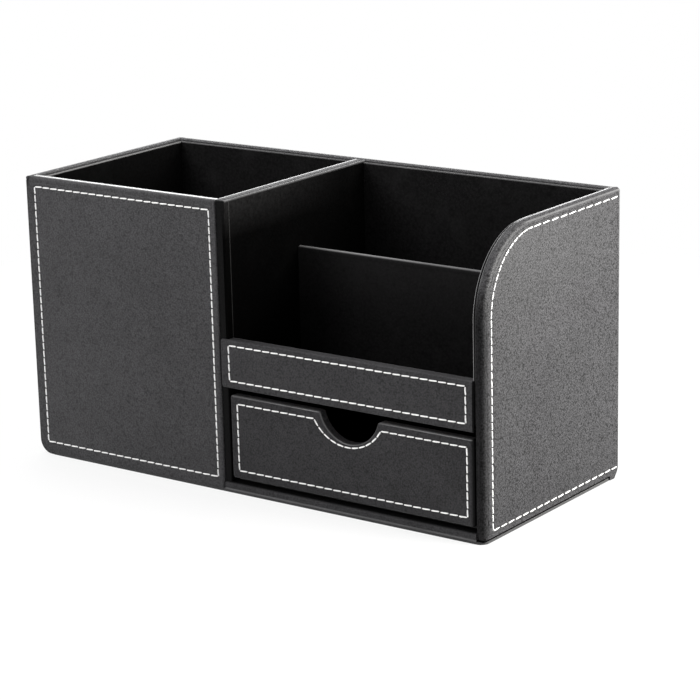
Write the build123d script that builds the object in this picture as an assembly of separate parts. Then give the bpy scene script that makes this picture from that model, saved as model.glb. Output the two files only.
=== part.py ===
from build123d import *
import math
import os

# Desk organizer in stitched black leather over board: a pen bay, two open trays and a drawer below them.
# Millimetres. X runs to the right, the front faces -Y, Z is up. The origin is under the middle of the base.

os.makedirs("parts", exist_ok=True)

# Whole case
case_width = 225.0
case_depth = 100.0
case_height = 120.0

# Sheets and boards that every wall is built from
board_thickness = 3.0
base_board_thickness = 2.6
leather_thickness = 0.8
lining_thickness = 1.2
liner_thickness = 0.4

# Rounded forms of the case
side_corner_radius = 34.0
low_left_radius = 6.0
low_back_radius = 3.0
fold_radius = 1.9
panel_fold_radius = 1.1
panel_corner_radius = 1.2

# Places inside the case
pen_bay_width = 93.7
bay_height = 39.5
band_height = 20.1
front_tray_depth = 43.3
low_divider_rise = 44.5
low_divider_board_thickness = 1.6
low_divider_leather_thickness = 0.6
rail_turn_in = 15.0

# Clearances between covered edges, and how far the sole stands proud of the leather beside it
panel_gap = 0.3
sole_stand = 0.2
sole_gap = 0.35
sole_inset = 0.5
turn_under = 7.0
lining_step = 0.8

# Drawer
drawer_gap_above = 2.9
drawer_gap_below = 2.0
drawer_gap_side = 0.6
drawer_recess = 0.6
drawer_run_gap = 0.3
drawer_back_gap = 1.0
drawer_box_inset = 0.3
drawer_board_thickness = 2.0
drawer_lining_thickness = 0.5
drawer_side_drop = 4.0
notch_radius = 16.2
notch_depth = 9.8
notch_lip_radius = 1.6
notch_shift = 1.2

# Sewing: each stitch lies in a channel that the thread presses into the leather
stitch_width = 1.0
stitch_gap = 0.8
stitch_taper = 35.0
channel_width = 1.4
channel_depth = 0.3
pitch_across = 4.15
pitch_up = 3.3
pitch_deep = 6.0
pitch_curve = 3.6

# Distance of each seam from the edges of its panel
pen_seam_left_inset = 4.5
pen_seam_right_inset = 2.9
pen_seam_top_inset = 4.2
pen_seam_low_inset = 5.6
band_seam_end_inset = 4.1
band_seam_top_inset = 2.4
band_seam_low_inset = 3.1
drawer_seam_inset = 3.4
side_seam_top_inset = 3.5
side_seam_front_inset = 5.7
side_seam_low_inset = 4.6
side_seam_radius_step = 4.5
left_seam_low_inset = 8.2
seam_end_inset = 2.4

# Outer faces of the case, the boards' outer and inner faces, and the faces of the linings
left = -case_width / 2
right = case_width / 2
front = -case_depth / 2
back = case_depth / 2
left_out = left + leather_thickness
left_in = left_out + board_thickness
left_face = left_in + lining_thickness
right_out = right - leather_thickness
right_in = right_out - board_thickness
right_face = right_in - lining_thickness
front_out = front + leather_thickness
front_in = front_out + board_thickness
front_face = front_in + lining_thickness
back_out = back - leather_thickness
back_in = back_out - board_thickness
back_face = back_in - lining_thickness
board_top = case_height - leather_thickness
lining_top = case_height - lining_step

# Main divider between the pen bay and the trays
pen_bay_right = left_face + pen_bay_width
divider_left = pen_bay_right + lining_thickness
divider_right = divider_left + board_thickness
divider_face = divider_right + lining_thickness
divider_front = front_out + leather_thickness
pen_cover_right = divider_left - panel_gap
pen_board_right = pen_cover_right - leather_thickness

# Levels
skin_low = sole_stand
base_low = skin_low + leather_thickness
base_top = base_low + base_board_thickness
rail_top = base_top + leather_thickness
pen_floor = base_top + lining_thickness
bay_floor = base_top + liner_thickness
shelf_low = rail_top + bay_height
shelf_top = shelf_low + board_thickness
tray_floor = shelf_top + lining_thickness
band_low = shelf_low + leather_thickness
band_top = shelf_low + band_height
band_board_top = band_top - leather_thickness
low_divider_top = tray_floor + low_divider_rise
cover_low = base_low + sole_gap

# Band and low divider
band_back = front_in + leather_thickness
low_divider_front = band_back + front_tray_depth
low_board_front = low_divider_front + low_divider_leather_thickness
low_board_back = low_board_front + low_divider_board_thickness
low_divider_back = low_board_back + low_divider_leather_thickness
low_board_top = low_divider_top - low_divider_leather_thickness
rail_back = front + rail_turn_in

# Drawer bay
bay_left = divider_right + liner_thickness
bay_right = right_in - liner_thickness
bay_back = back_in - liner_thickness

# Drawer
drawer_left = bay_left + drawer_gap_side
drawer_right = bay_right - drawer_gap_side
drawer_low = rail_top + drawer_gap_below
drawer_top = shelf_low - drawer_gap_above
drawer_front = front + drawer_recess
drawer_board_front = drawer_front + leather_thickness
drawer_board_back = drawer_board_front + board_thickness
drawer_face_back = drawer_board_back + lining_thickness
notch_middle = (drawer_left + drawer_right) / 2 + notch_shift
notch_centre = drawer_top + notch_radius - notch_depth
box_left = drawer_left + drawer_box_inset
box_right = drawer_right - drawer_box_inset
box_back = bay_back - drawer_back_gap
box_low = rail_top + drawer_run_gap
box_floor = box_low + drawer_board_thickness
box_top = drawer_top - drawer_side_drop
box_left_in = box_left + drawer_board_thickness
box_right_in = box_right - drawer_board_thickness
box_back_in = box_back - drawer_board_thickness


def facing_front(y):
    return Plane(origin=(0, y, 0), x_dir=(1, 0, 0), z_dir=(0, -1, 0))


def facing_right(x):
    return Plane(origin=(x, 0, 0), x_dir=(0, 1, 0), z_dir=(1, 0, 0))


def facing_back(y):
    return Plane(origin=(0, y, 0), x_dir=(-1, 0, 0), z_dir=(0, 1, 0))


def facing_left(x):
    return Plane(origin=(x, 0, 0), x_dir=(0, -1, 0), z_dir=(-1, 0, 0))


def slab(x_range, y_range, z_range):
    """Flat board or sheet between two limits on each axis."""
    size = (x_range[1] - x_range[0], y_range[1] - y_range[0], z_range[1] - z_range[0])
    middle = (sum(x_range) / 2, sum(y_range) / 2, sum(z_range) / 2)
    return Pos(*middle) * Box(*size)


def panel(low, high, radii=(0, 0, 0, 0)):
    """Flat outline with its own radius at each corner: low left, low right, top right, top left."""
    corners = [low, (high[0], low[1]), high, (low[0], high[1])]
    return make_face(FilletPolyline(*corners, radius=radii, close=True))


def across(outline, x_range):
    """Outline seen from the right, carried across the width."""
    return extrude(facing_right(x_range[0]) * outline, amount=x_range[1] - x_range[0])


def through(outline, y_range):
    """Outline seen from the front, carried through the depth."""
    return extrude(facing_front(y_range[1]) * outline, amount=y_range[1] - y_range[0])


def upright(outline, z_range):
    """Outline seen from above, carried up."""
    return extrude(Pos(0, 0, z_range[0]) * outline, amount=z_range[1] - z_range[0])


def edges_at(shape, axis, place):
    """Edges parallel to an axis that pass through a place given on the two other axes."""
    found = shape.edges().filter_by(axis)
    for other, value in place.items():
        found = found.filter_by_position(other, value - 0.001, value + 0.001)
    return found


def case_block(inset):
    """Block of the case without its curved side corner: inset 0 is the skin, more is what lies under it."""
    seen_front = panel((left + inset, skin_low + inset), (right - inset, case_height - inset),
                       (low_left_radius - inset, 0, 0, 0))
    seen_side = panel((front + inset, skin_low + inset), (back - inset, case_height - inset),
                      (0, low_back_radius - inset, 0, 0))
    seen_above = panel((left, front), (right - inset, back - inset), (0, 0, fold_radius - inset, 0))
    seen_above &= panel((left + inset, front), (right, back - inset), (0, 0, 0, fold_radius - inset))
    block = through(seen_front, (front + inset, back - inset)) & across(seen_side, (left, right))
    return block & upright(seen_above, (0, case_height))


def side_panel(step, low):
    """Right wall seen from the right, with its large curved top front corner, stepped in from the skin."""
    radii = (0, 0, 0, side_corner_radius - step)
    return panel((front + step, low), (back - step, case_height - step), radii)


def channel(seam, plane):
    """Groove along a seam, pressed into a face from outside."""
    return extrude(plane * trace(seam, line_width=channel_width), amount=-channel_depth)


def sew(seam, plane, level_pitch):
    """Stitches in a row along a seam, with the pitch of each stretch rounded to fill it evenly."""
    stitches = []
    for edge in seam.edges():
        steep = abs((edge % 0.5).Y) > 0.5
        pitch = pitch_up if steep else level_pitch
        if edge.geom_type == GeomType.CIRCLE:
            pitch = pitch_curve
        count = round(edge.length / pitch)
        length = edge.length / count - stitch_gap
        stitch = extrude(Rectangle(length, stitch_width), amount=channel_depth, taper=stitch_taper)
        for number in range(count):
            place = edge @ ((number + 0.5) / count)
            along = edge % ((number + 0.5) / count)
            turn = math.degrees(math.atan2(along.Y, along.X))
            spot = plane * Pos(place.X, place.Y, -channel_depth) * Rot(0, 0, turn)
            stitches += (spot * stitch).solids()
    return stitches


board_block = case_block(leather_thickness)

# Sole and base board
base_sole = slab((left + turn_under + sole_gap, right - sole_inset),
                 (front + sole_inset, back - turn_under - sole_gap), (0, base_low))
base_board = slab((left_in, right_in), (front_in, back_in), (base_low, base_top))
base_board += slab((divider_left, right_in), (front_out, front_in), (base_low, base_top))
base_board &= board_block

# Boards of the outer walls
left_board = slab((left_out, left_in), (front_in, back_in), (base_low, board_top)) & board_block
back_board = slab((left_out, right_out), (back_in, back_out), (base_low, board_top)) & board_block
right_board = across(side_panel(leather_thickness, base_low), (right_in, right_out))
right_board -= slab((right_in, right_out), (back_in, back), (0, case_height))
pen_front_board = slab((left_out, pen_board_right), (front_out, front_in), (base_low, board_top))
pen_front_board &= board_block

# Outer wrap: the skin of the case block, without what the panels, the places inside and the sole take
outer_wrap = case_block(0)
corner_cut = panel((front, case_height - side_corner_radius), (front + side_corner_radius, case_height))
corner_cut -= Pos(front + side_corner_radius, case_height - side_corner_radius) * Circle(side_corner_radius)
outer_wrap -= across(corner_cut, (right_in, right))
curved_edge = outer_wrap.edges().filter_by(GeomType.CIRCLE).sort_by(Axis.X)
curved_edge = [edge for edge in curved_edge if abs(edge.radius - side_corner_radius) < 0.001][-1:]
folded_edges = [
    *edges_at(outer_wrap, Axis.Z, {Axis.X: right, Axis.Y: front}),
    *curved_edge,
    *edges_at(outer_wrap, Axis.Y, {Axis.X: right, Axis.Z: case_height}),
    *edges_at(outer_wrap, Axis.X, {Axis.Y: back, Axis.Z: case_height}),
    *edges_at(outer_wrap, Axis.Y, {Axis.X: left, Axis.Z: case_height}),
]
outer_wrap = fillet(folded_edges, fold_radius)
inside_left = case_block(leather_thickness) - slab((right_in, right), (front, back), (0, case_height))
inside_right = case_block(leather_thickness) & across(side_panel(leather_thickness, 0), (right_in, right))
outer_wrap -= inside_left + inside_right
outer_wrap -= slab((left_in, right_in), (front, back_in), (base_low, case_height))
outer_wrap -= slab((left_out, right_in), (front, front_in), (board_top, case_height))
outer_wrap -= through(panel((left_out, base_low), (right_in, case_height),
                            (low_left_radius - leather_thickness, 0, 0, 0)), (front, front_out))
outer_wrap -= slab((left + turn_under, right), (front, back - turn_under), (0, base_low))
outer_wrap -= slab((right_in, right), (front, back - turn_under), (0, cover_low))

right_seam = FilletPolyline((back - seam_end_inset, case_height - side_seam_top_inset),
                            (front + side_seam_front_inset, case_height - side_seam_top_inset),
                            (front + side_seam_front_inset, side_seam_low_inset),
                            (back - seam_end_inset, side_seam_low_inset),
                            radius=(side_corner_radius - side_seam_radius_step, 0))
left_seam = Polyline((-back + seam_end_inset, case_height - side_seam_top_inset),
                     (-front - side_seam_front_inset, case_height - side_seam_top_inset),
                     (-front - side_seam_front_inset, left_seam_low_inset),
                     (-back + seam_end_inset, left_seam_low_inset))
back_top_seam = Line((left + seam_end_inset, case_height - side_seam_top_inset),
                     (right - seam_end_inset, case_height - side_seam_top_inset))
back_low_seam = Line((left + low_left_radius, side_seam_low_inset),
                     (right - seam_end_inset, side_seam_low_inset))
wrap_seams = [
    (right_seam, facing_right(right), pitch_deep),
    (left_seam, facing_left(left), pitch_deep),
    (mirror(back_top_seam, Plane.YZ), facing_back(back), pitch_across),
    (mirror(back_low_seam, Plane.YZ), facing_back(back), pitch_across),
]
wrap_stitches = []
for seam, plane, level_pitch in wrap_seams:
    outer_wrap -= channel(seam, plane)
    wrap_stitches += sew(seam, plane, level_pitch)
outer_wrap_stitching = Compound(wrap_stitches)

# Front panel of the pen bay
pen_front_cover = slab((left_out, pen_cover_right), (front, front_in), (cover_low, case_height))
pen_front_cover = fillet([
    *edges_at(pen_front_cover, Axis.X, {Axis.Y: front, Axis.Z: case_height}),
    *edges_at(pen_front_cover, Axis.Z, {Axis.X: pen_cover_right, Axis.Y: front}),
], panel_fold_radius)
pen_front_cover -= slab((left_out, pen_board_right), (front_out, front_in), (0, board_top))
pen_front_cover &= through(panel((left_out, base_low), (right, case_height),
                                 (low_left_radius - leather_thickness, 0, 0, panel_fold_radius)), (front, back))
pen_seam = Polyline((left + pen_seam_left_inset, pen_seam_low_inset),
                    (pen_cover_right - pen_seam_right_inset, pen_seam_low_inset),
                    (pen_cover_right - pen_seam_right_inset, case_height - pen_seam_top_inset),
                    (left + pen_seam_left_inset, case_height - pen_seam_top_inset), close=True)
pen_front_cover -= channel(pen_seam, facing_front(front))
pen_front_stitching = Compound(sew(pen_seam, facing_front(front), pitch_across))

# Linings of the pen bay
pen_left_lining = slab((left_in, left_face), (front_in, back_in), (base_top, lining_top))
pen_right_lining = slab((pen_bay_right, divider_left), (front_in, back_in), (base_top, lining_top))
pen_front_lining = slab((left_face, pen_bay_right), (front_in, front_face), (base_top, lining_top))
pen_back_lining = slab((left_face, pen_bay_right), (back_face, back_in), (base_top, lining_top))
pen_floor_lining = slab((left_face, pen_bay_right), (front_face, back_face), (base_top, pen_floor))

# Main divider
main_divider_board = slab((divider_left, divider_right), (divider_front, back_in), (base_top, board_top))
main_divider_cover = slab((divider_left, divider_right), (front_out, back_in), (base_top, case_height))
main_divider_cover += slab((pen_bay_right, divider_left), (front_in, back_in), (lining_top, case_height))
main_divider_cover += slab((divider_right, divider_face), (front_out, back_in), (lining_top, case_height))
main_divider_cover = fillet([
    *edges_at(main_divider_cover, Axis.X, {Axis.Y: front_out, Axis.Z: case_height}),
    *edges_at(main_divider_cover, Axis.Y, {Axis.X: divider_face, Axis.Z: case_height}),
], leather_thickness / 2)
main_divider_cover -= main_divider_board

# Shelf over the drawer bay and linings of the trays
shelf_board = slab((divider_right, right_in), (front_in, back_in), (shelf_low, shelf_top))
shelf_lining = slab((divider_face, right_face), (band_back, back_face), (shelf_top, tray_floor))
tray_left_lining = slab((divider_right, divider_face), (front_out, back_in), (shelf_top, lining_top))
tray_back_lining = slab((divider_face, right_face), (back_face, back_in), (shelf_top, lining_top))
tray_right_lining = across(side_panel(lining_step, shelf_top), (right_face, right_in))
tray_right_lining -= slab((right_face, right_in), (back_in, back), (0, case_height))

# Band in front of the trays: the leather's front runs on over both wall edges
band_cover_left = divider_left + panel_gap
band_cover_right = right_in - panel_gap
band_board = slab((divider_face, right_face), (front_out, front_in), (band_low, band_board_top))
band_section = panel((front, shelf_low), (band_back, band_top), (0, 0, leather_thickness, panel_fold_radius))
band_outline = panel((band_cover_left, shelf_low), (band_cover_right, band_top), (panel_corner_radius,) * 4)
band_cover = across(band_section, (band_cover_left, band_cover_right))
band_cover &= through(band_outline, (front, back))
band_cover -= slab((left, divider_face), (front_out, back), (0, case_height))
band_cover -= slab((right_face, right), (front_out, back), (0, case_height))
band_cover -= slab((left, right), (front_in, back), (0, shelf_top))
band_cover -= band_board
band_seam = Polyline((band_cover_left + band_seam_end_inset, shelf_low + band_seam_low_inset),
                     (band_cover_right - band_seam_end_inset, shelf_low + band_seam_low_inset),
                     (band_cover_right - band_seam_end_inset, band_top - band_seam_top_inset),
                     (band_cover_left + band_seam_end_inset, band_top - band_seam_top_inset), close=True)
band_cover -= channel(band_seam, facing_front(front))
band_stitching = Compound(sew(band_seam, facing_front(front), pitch_across))

# Low divider between the trays
low_divider_board = slab((divider_face, right_face), (low_board_front, low_board_back),
                         (tray_floor, low_board_top))
low_divider_section = panel((low_divider_front, tray_floor), (low_divider_back, low_divider_top),
                            (0, 0, panel_fold_radius, panel_fold_radius))
low_divider_cover = across(low_divider_section, (divider_face, right_face)) - low_divider_board

# Rail below the drawer and liners of its bay
rail_section = panel((front, cover_low), (rail_back, rail_top), (0, 0, 0, panel_fold_radius))
rail_cover = across(rail_section, (band_cover_left, band_cover_right))
rail_cover -= slab((left, right), (front_out, back), (0, base_top))
rail_cover -= slab((left, bay_left), (front_out, back), (0, case_height))
rail_cover -= slab((bay_right, right), (front_out, back), (0, case_height))
bay_floor_liner = slab((bay_left, bay_right), (rail_back, bay_back), (base_top, bay_floor))
bay_left_liner = slab((divider_right, bay_left), (front_out, back_in), (base_top, shelf_low))
bay_right_liner = slab((bay_right, right_in), (front_out, back_in), (base_top, shelf_low))
bay_back_liner = slab((bay_left, bay_right), (bay_back, back_in), (base_top, shelf_low))

# Drawer front with its half-moon finger notch
drawer_outline = panel((drawer_left, drawer_low), (drawer_right, drawer_top), (panel_corner_radius,) * 4)
drawer_outline -= Pos(notch_middle, notch_centre) * Circle(notch_radius)
notch_lips = [corner for corner in drawer_outline.vertices()
              if abs(corner.Y - drawer_top) < 0.001 and abs(corner.X - notch_middle) < notch_radius]
drawer_outline = fillet(notch_lips, notch_lip_radius)
drawer_board_outline = offset(drawer_outline, amount=-leather_thickness)
drawer_front_board = through(drawer_board_outline, (drawer_board_front, drawer_board_back))
drawer_front_cover = through(drawer_outline, (drawer_front, drawer_board_back)) - drawer_front_board
drawer_front_lining = through(drawer_board_outline, (drawer_board_back, drawer_face_back))
drawer_seam_left = drawer_left + drawer_seam_inset
drawer_seam_right = drawer_right - drawer_seam_inset
drawer_seam_low = drawer_low + drawer_seam_inset
drawer_seam_top = drawer_top - drawer_seam_inset
notch_seam_radius = notch_radius + drawer_seam_inset
notch_seam_half = math.sqrt(notch_seam_radius ** 2 - (notch_centre - drawer_seam_top) ** 2)
notch_seam_left = (notch_middle - notch_seam_half, drawer_seam_top)
notch_seam_right = (notch_middle + notch_seam_half, drawer_seam_top)
drawer_seam = Curve() + [
    Polyline(notch_seam_right, (drawer_seam_right, drawer_seam_top), (drawer_seam_right, drawer_seam_low),
             (drawer_seam_left, drawer_seam_low), (drawer_seam_left, drawer_seam_top), notch_seam_left),
    ThreePointArc(notch_seam_left, (notch_middle, notch_centre - notch_seam_radius), notch_seam_right),
]
drawer_front_cover -= channel(drawer_seam, facing_front(drawer_front))
drawer_stitching = Compound(sew(drawer_seam, facing_front(drawer_front), pitch_across))

# Drawer box
drawer_floor = slab((box_left, box_right), (drawer_board_back, box_back), (box_low, box_floor))
drawer_left_wall = slab((box_left, box_left_in), (drawer_face_back, box_back), (box_floor, box_top))
drawer_right_wall = slab((box_right_in, box_right), (drawer_face_back, box_back), (box_floor, box_top))
drawer_back_wall = slab((box_left_in, box_right_in), (box_back_in, box_back), (box_floor, box_top))
drawer_inside_left = box_left_in + drawer_lining_thickness
drawer_inside_right = box_right_in - drawer_lining_thickness
drawer_inside_back = box_back_in - drawer_lining_thickness
drawer_inside_floor = box_floor + drawer_lining_thickness
drawer_floor_lining = slab((box_left_in, box_right_in), (drawer_face_back, box_back_in),
                           (box_floor, drawer_inside_floor))
drawer_left_lining = slab((box_left_in, drawer_inside_left), (drawer_face_back, box_back_in),
                          (drawer_inside_floor, box_top))
drawer_right_lining = slab((drawer_inside_right, box_right_in), (drawer_face_back, box_back_in),
                           (drawer_inside_floor, box_top))
drawer_back_lining = slab((drawer_inside_left, drawer_inside_right), (drawer_inside_back, box_back_in),
                          (drawer_inside_floor, box_top))

pieces = {
    "base_sole": base_sole,
    "base_board": base_board,
    "left_board": left_board,
    "right_board": right_board,
    "back_board": back_board,
    "outer_wrap": outer_wrap,
    "outer_wrap_stitching": outer_wrap_stitching,
    "pen_front_board": pen_front_board,
    "pen_front_cover": pen_front_cover,
    "pen_front_stitching": pen_front_stitching,
    "pen_left_lining": pen_left_lining,
    "pen_right_lining": pen_right_lining,
    "pen_front_lining": pen_front_lining,
    "pen_back_lining": pen_back_lining,
    "pen_floor_lining": pen_floor_lining,
    "main_divider_board": main_divider_board,
    "main_divider_cover": main_divider_cover,
    "shelf_board": shelf_board,
    "shelf_lining": shelf_lining,
    "tray_left_lining": tray_left_lining,
    "tray_right_lining": tray_right_lining,
    "tray_back_lining": tray_back_lining,
    "band_board": band_board,
    "band_cover": band_cover,
    "band_stitching": band_stitching,
    "low_divider_board": low_divider_board,
    "low_divider_cover": low_divider_cover,
    "rail_cover": rail_cover,
    "bay_floor_liner": bay_floor_liner,
    "bay_left_liner": bay_left_liner,
    "bay_right_liner": bay_right_liner,
    "bay_back_liner": bay_back_liner,
    "drawer_front_board": drawer_front_board,
    "drawer_front_cover": drawer_front_cover,
    "drawer_front_lining": drawer_front_lining,
    "drawer_stitching": drawer_stitching,
    "drawer_floor": drawer_floor,
    "drawer_left_wall": drawer_left_wall,
    "drawer_right_wall": drawer_right_wall,
    "drawer_back_wall": drawer_back_wall,
    "drawer_floor_lining": drawer_floor_lining,
    "drawer_left_lining": drawer_left_lining,
    "drawer_right_lining": drawer_right_lining,
    "drawer_back_lining": drawer_back_lining,
}
for name, piece in pieces.items():
    export_step(piece, f"parts/{name}.step")
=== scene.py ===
import math

import bmesh
import bpy
from mathutils import Matrix, Vector


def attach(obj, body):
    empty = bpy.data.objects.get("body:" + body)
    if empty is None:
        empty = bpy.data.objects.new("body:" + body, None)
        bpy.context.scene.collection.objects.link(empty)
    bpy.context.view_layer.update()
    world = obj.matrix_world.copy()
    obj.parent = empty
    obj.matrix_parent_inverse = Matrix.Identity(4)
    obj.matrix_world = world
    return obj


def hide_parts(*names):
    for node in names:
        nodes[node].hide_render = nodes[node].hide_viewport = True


# A desk organizer in sewn black leather: pen bay, two trays and a drawer with a half-moon finger notch.
# Places below are in millimetres in the frame of the CAD model: x to the right, y to the back, z up.

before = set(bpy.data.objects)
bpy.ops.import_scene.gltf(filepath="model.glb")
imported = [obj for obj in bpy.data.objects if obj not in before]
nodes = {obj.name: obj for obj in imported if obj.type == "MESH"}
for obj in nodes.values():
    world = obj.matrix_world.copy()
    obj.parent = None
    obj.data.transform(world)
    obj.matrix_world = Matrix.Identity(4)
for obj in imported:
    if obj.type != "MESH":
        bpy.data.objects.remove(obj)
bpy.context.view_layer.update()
millimetre = 0.001
print("frame loaded:", len(nodes), "nodes")


# Camera, lights and floor

view = {
    "aim": (15.12, 0.0, 51.33),
    "azimuth": 36.181,
    "elevation": 15.267,
    "roll": -1.378,
    "distance": 1042.5,
    "lens": 131.36,
    "sensor": 36,
    "nearest": 10,
}


def placeCamera():
    azimuth, elevation, roll = (math.radians(view[turn]) for turn in ("azimuth", "elevation", "roll"))
    away = Vector((math.sin(azimuth) * math.cos(elevation), -math.cos(azimuth) * math.cos(elevation),
                   math.sin(elevation)))
    side = (-away).cross(Vector((0, 0, 1))).normalized()
    up = side.cross(-away)
    rightward = math.cos(roll) * side + math.sin(roll) * up
    upward = math.cos(roll) * up - math.sin(roll) * side
    bpy.ops.object.camera_add()
    camera = bpy.context.object
    camera.matrix_world = Matrix.Translation((Vector(view["aim"]) + away * view["distance"]) * millimetre) @ \
        Matrix((rightward, upward, away)).transposed().to_4x4()
    camera.data.lens = view["lens"]
    camera.data.sensor_width = view["sensor"]
    camera.data.clip_start = view["nearest"] * millimetre
    bpy.context.scene.camera = camera


studio = {
    "world": 0.42,  # light from all round
    "aim": (0, 0, 50),
    "top": {"place": (-250, 60, 900), "size": (420, 420), "power": 5.0},
    "side": {"place": (520, 140, 235), "size": (320, 240), "power": 7.4, "tint": (1.0, 0.995, 0.955)},
    "front": {"place": (-350, -650, 560), "size": (420, 420), "power": 4.2},
    "rim": {"place": (-560, 760, 330), "size": (500, 300), "power": 1.7},
    "floorSize": 8,  # metres
    "floorTone": 0.78,
    "floorWhite": 0.82,  # how much of the floor's white is its own, the rest takes the shadow
    "shadowReach": (180, 420),  # from here on the floor grows all white
}


def addSoftbox(name):
    box = studio[name]
    bpy.ops.object.light_add(type="AREA", location=Vector(box["place"]) * millimetre)
    lamp = bpy.context.object
    lamp.name = name + "Softbox"
    lamp.data.shape = "RECTANGLE"
    lamp.data.size, lamp.data.size_y = (side * millimetre for side in box["size"])
    lamp.data.energy = box["power"]
    lamp.data.color = box.get("tint", (1.0, 1.0, 1.0))
    aim = Vector(studio["aim"]) * millimetre - lamp.location
    lamp.rotation_euler = aim.to_track_quat("-Z", "Y").to_euler()


placeCamera()
for softboxName in ("top", "side", "front", "rim"):
    addSoftbox(softboxName)
print("camera and softboxes placed")


# Shader maths

class Wire:  # one socket's value, so that shader maths reads as an expression
    def __init__(self, bench, socket):
        self.bench = bench
        self.socket = socket

    def __add__(self, other):
        return self.bench.maths("ADD", self, other)

    def __sub__(self, other):
        return self.bench.maths("SUBTRACT", self, other)

    def __rsub__(self, other):
        return self.bench.maths("SUBTRACT", other, self)

    def __mul__(self, other):
        return self.bench.maths("MULTIPLY", self, other)

    def __truediv__(self, other):
        return self.bench.maths("DIVIDE", self, other)

    __radd__ = __add__
    __rmul__ = __mul__


class Bench:  # the node tree that a finish is made on
    def __init__(self, tree):
        self.tree = tree
        tree.nodes.clear()

    def node(self, kind, inputs=(), **settings):
        made = self.tree.nodes.new(kind)
        for name, value in settings.items():
            setattr(made, name, value)
        for name, value in dict(inputs).items():
            if isinstance(value, Wire):
                self.tree.links.new(value.socket, made.inputs[name])
            else:
                made.inputs[name].default_value = value
        return made

    def value(self, kind, inputs=(), output=0, **settings):
        return Wire(self, self.node(kind, inputs, **settings).outputs[output])

    def maths(self, operation, *values, clamp=False):
        return self.value("ShaderNodeMath", enumerate(values), operation=operation, use_clamp=clamp)

    def clamped(self, value):
        return self.maths("ADD", value, 0.0, clamp=True)

    def rise(self, value, start, end):  # 0 at the start to 1 at the end
        return self.clamped((value - start) / (end - start))

    def length(self, first, second):
        return self.maths("SQRT", first * first + second * second)

    def mixColour(self, factor, first, second, blend="MIX"):
        inputs = {0: factor, 6: first, 7: second}
        return self.value("ShaderNodeMix", inputs, 2, data_type="RGBA", blend_type=blend)

    def darkened(self, colour, value):  # a colour times a number that changes over the surface
        grey = self.value("ShaderNodeCombineColor", {0: value, 1: value, 2: value})
        return self.mixColour(1.0, colour, grey, "MULTIPLY")

    def place(self):  # object coordinates in millimetres
        metres = self.value("ShaderNodeTexCoord", output="Object")
        return self.value("ShaderNodeVectorMath", {0: metres, "Scale": 1 / millimetre}, operation="SCALE")

    def axes(self, place):
        return {axis: self.value("ShaderNodeSeparateXYZ", {0: place}, axis.upper()) for axis in "xyz"}

    def noise(self, place, size, detail, roughness):
        return self.value("ShaderNodeTexNoise", {
            "Vector": place, "Scale": 1.0 / size, "Detail": detail, "Roughness": roughness})

    def cells(self, place, size, smoothness=0.6):
        inputs = {"Vector": place, "Scale": 1.0 / size, "Smoothness": smoothness}
        return self.value("ShaderNodeTexVoronoi", inputs, feature="SMOOTH_F1")

    def closeTo(self, first, second, reach):  # 1 on a line in space, given by the distances to two planes
        return self.clamped(1.0 - self.length(first, second) / reach)

    # a surface with relief, its height in millimetres; the shine is a share of the look's gloss
    def surface(self, look, colour, roughness, height, shine=1.0, extras=()):
        bump = {"Strength": look["relief"], "Distance": millimetre, "Height": height}
        return self.value("ShaderNodeBsdfPrincipled", {
            "Base Color": colour, "Roughness": roughness, "Normal": self.value("ShaderNodeBump", bump),
            "Specular IOR Level": look["gloss"] * shine, "Sheen Weight": look.get("sheen", 0.0),
            **dict(extras)})

    def mixShader(self, *inputs):
        return self.value("ShaderNodeMixShader", enumerate(inputs))

    def along(self, sides, ramps, value):  # grows along each axis from the first place to the second
        for axis, start, end in ramps:
            value = self.rise(sides[axis], start, end) * value
        return value


def newMaterial(name):
    material = bpy.data.materials.new(name)
    material.use_nodes = True
    bench = Bench(material.node_tree)
    bench.material = material
    return bench, bench.place()


def closeMaterial(bench, surface):
    bench.node("ShaderNodeOutputMaterial", {"Surface": surface})
    return bench.material


def twoTone(bench, look, mask, roughness, height):
    colour = bench.mixColour(bench.clamped(mask), shade(look["colour"]), shade(look["second"]))
    return closeMaterial(bench, bench.surface(look, colour, look["roughness"] + roughness, height))


def shade(colour, factor=1.0):
    return tuple(part * factor for part in colour) + (1.0,)


white = shade((1, 1, 1))


# Worn edges and painted highlight lines

wearAndHighlightStrength = 1.8


def sideRim(place, radius, reach):  # along the curved rim of the right side, down to the band: a painted highlight line, with wear on the leather
    def measure(bench, sides):
        lift = bench.maths("MAXIMUM", sides["z"] - rimMiddle[1], 0.0)
        lead = bench.maths("MAXIMUM", rimMiddle[0] - sides["y"], 0.0)
        closeness = bench.closeTo(bench.length(lift, lead) - radius, sides["x"] - place, reach)
        return closeness * bench.clamped(sides["z"] - wrap["wearAndHighlightFrom"])
    return measure


def notchRim(middle, radius, place, reach):  # along the edge of the finger notch, worn and painted lighter as a highlight
    def measure(bench, sides):
        away = bench.length(sides["x"] - middle[0], sides["z"] - middle[1])
        return bench.closeTo(away - radius, sides["y"] - place, reach)
    return measure


# 1 along rubbed folds that are painted lighter as highlight lines: each is where two planes meet, with how
# far the mark reaches, or a curved rim
def wearAndHighlightMask(bench, sides, folds, rim):
    mask = 0.0
    for firstAxis, first, secondAxis, second, reach in folds:
        closeness = bench.closeTo(sides[firstAxis] - first, sides[secondAxis] - second, reach)
        mask = bench.maths("MAXIMUM", mask, closeness)
    if rim:
        mask = bench.maths("MAXIMUM", mask, rim(bench, sides))
    return bench.clamped(mask * wearAndHighlightStrength)


# Finishes

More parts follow.
